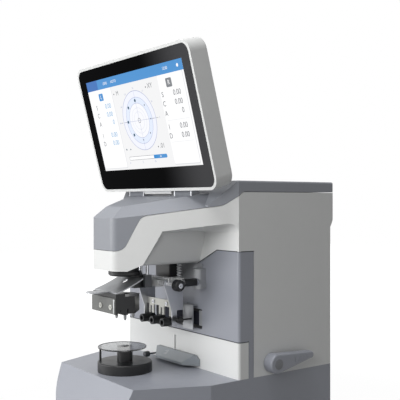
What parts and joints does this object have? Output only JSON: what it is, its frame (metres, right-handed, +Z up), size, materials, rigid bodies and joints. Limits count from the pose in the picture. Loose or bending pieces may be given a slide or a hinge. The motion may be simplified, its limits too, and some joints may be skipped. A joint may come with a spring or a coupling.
{
  "type": "auto lensmeter",
  "caption": "Desktop lens-measuring instrument with a tilting screen, a lens stage under an optics head, a marking unit and a side lever.",
  "frame": {"origin": "middle of the four foot screws, on the table surface", "axes": "+Z up from the table, -Y towards the nose and the user, +X towards the lever side"},
  "size_m": [0.219, 0.244, 0.4263],
  "materials": {
    "light_plastic": "fine-textured off-white housing plastic",
    "white_plastic": "smooth white plastic",
    "grey_plastic": "mid-grey moulded plastic",
    "blue_grey_plastic": "blue-grey accent plastic",
    "black_plastic": "black moulded plastic",
    "rocker_plastic": "glossy black rocker",
    "foot_rubber": "moulded rubber",
    "bright_steel": "bright plated steel",
    "spring_steel": "drawn spring wire",
    "zinc_sheet": "zinc-plated sheet steel",
    "black_aluminium": "black anodised aluminium",
    "board_green": "circuit board laminate",
    "optical_glass": "coated optical glass",
    "screen_glass": "dark cover glass",
    "display": "lit display surface"
  },
  "bodies": {
    "chassis": {"base_skirt": "grey_plastic", "base_shell": "light_plastic", "base_plate": "zinc_sheet", "rubber_feet": "foot_rubber", "main_housing": "light_plastic", "top_cover": "blue_grey_plastic", "head_core": "grey_plastic", "front_insert": "blue_grey_plastic", "lower_panel": "light_plastic", "service_cover": "light_plastic", "aperture_ring": "black_plastic", "emitter_barrel": "black_aluminium", "collimator_lens": "optical_glass", "led_board": "board_green", "optics_beam": "zinc_sheet", "spine": "zinc_sheet", "main_board": "board_green", "power_supply": "zinc_sheet", "receiver_barrel": "black_aluminium", "sensor_board": "board_green", "nose_disc": "black_plastic", "nose_post": "black_plastic", "nose_plate": "optical_glass", "marker_guide": "grey_plastic", "marker_spring": "spring_steel", "marker_boss": "white_plastic", "pad_bracket": "bright_steel", "pad_stopper": "black_plastic", "ink_pad": "black_plastic", "slide_bearings": "black_aluminium", "lever_bush": "black_plastic", "hinge_stands": "black_plastic", "hinge_side_plates": "bright_steel", "rear_panel": "zinc_sheet", "power_inlet": "black_plastic", "switch_housing": "black_plastic"},
    "monitor": {"monitor_back": "light_plastic", "monitor_bezel": "light_plastic", "lcd_panel": "display", "cover_glass": "screen_glass", "hinge_shafts": "bright_steel"},
    "lens_holder": {"holder_rods": "bright_steel", "holder_bracket": "grey_plastic", "holder_arm": "bright_steel", "holder_plate": "grey_plastic", "holder_block": "black_plastic", "holder_pins": "white_plastic"},
    "marker_slide_body": {"marker_carriage": "grey_plastic"},
    "marker_frame": {"pivot_rod": "bright_steel", "marker_knob": "black_plastic", "side_arms": "zinc_sheet", "comb_plate": "bright_steel", "marker_bails": "bright_steel", "pen_holders": "black_plastic"},
    "lens_table": {"table_bar": "grey_plastic", "table_slide": "bright_steel"},
    "table_lever": {"side_lever": "blue_grey_plastic", "lever_shaft": "bright_steel"},
    "power_switch": {"power_rocker": "rocker_plastic"},
    "measure_button": {"measure_button": "white_plastic"}
  },
  "joints": [
    {"name": "monitor_tilt", "type": "hinge", "parent": "chassis", "child": "monitor", "pos_m": [0, -0.027, 0.301], "axis": [-1, 0, 0], "range_deg": [0, 94]},
    {"name": "lens_holder_slide", "type": "slide", "parent": "chassis", "child": "lens_holder", "axis": [0, 0, -1], "range_m": [0, 0.026]},
    {"name": "marker_slide", "type": "slide", "parent": "chassis", "child": "marker_slide_body", "axis": [0, 0, -1], "range_m": [0, 0.018], "stiffness_N_per_m": 60, "springref_m": -0.012, "deforming": ["marker_spring"]},
    {"name": "marker_swing", "type": "hinge", "parent": "marker_slide_body", "child": "marker_frame", "pos_m": [0, -0.0385, 0.1944], "axis": [-1, 0, 0], "range_deg": [0, 22]},
    {"name": "table_slide_out", "type": "slide", "parent": "chassis", "child": "lens_table", "axis": [0, -1, 0], "range_m": [0, 0.024]},
    {"name": "lever_turn", "type": "hinge", "parent": "chassis", "child": "table_lever", "pos_m": [0.1, 0.033, 0.12], "axis": [1, 0, 0], "range_deg": [0, 66.2]},
    {"name": "power_switch_rock", "type": "hinge", "parent": "chassis", "child": "power_switch", "pos_m": [0.002, 0.1115, 0.046], "axis": [-1, 0, 0], "range_deg": [0, 16]},
    {"name": "button_press", "type": "slide", "parent": "chassis", "child": "measure_button", "axis": [0, 1, 0], "range_m": [0, 0.002], "stiffness_N_per_m": 400, "springref_m": -0.001}
  ],
  "couplings": [
    {"joint": "lever_turn", "follows": "table_slide_out", "rad_per_m": 48.07}
  ]
}
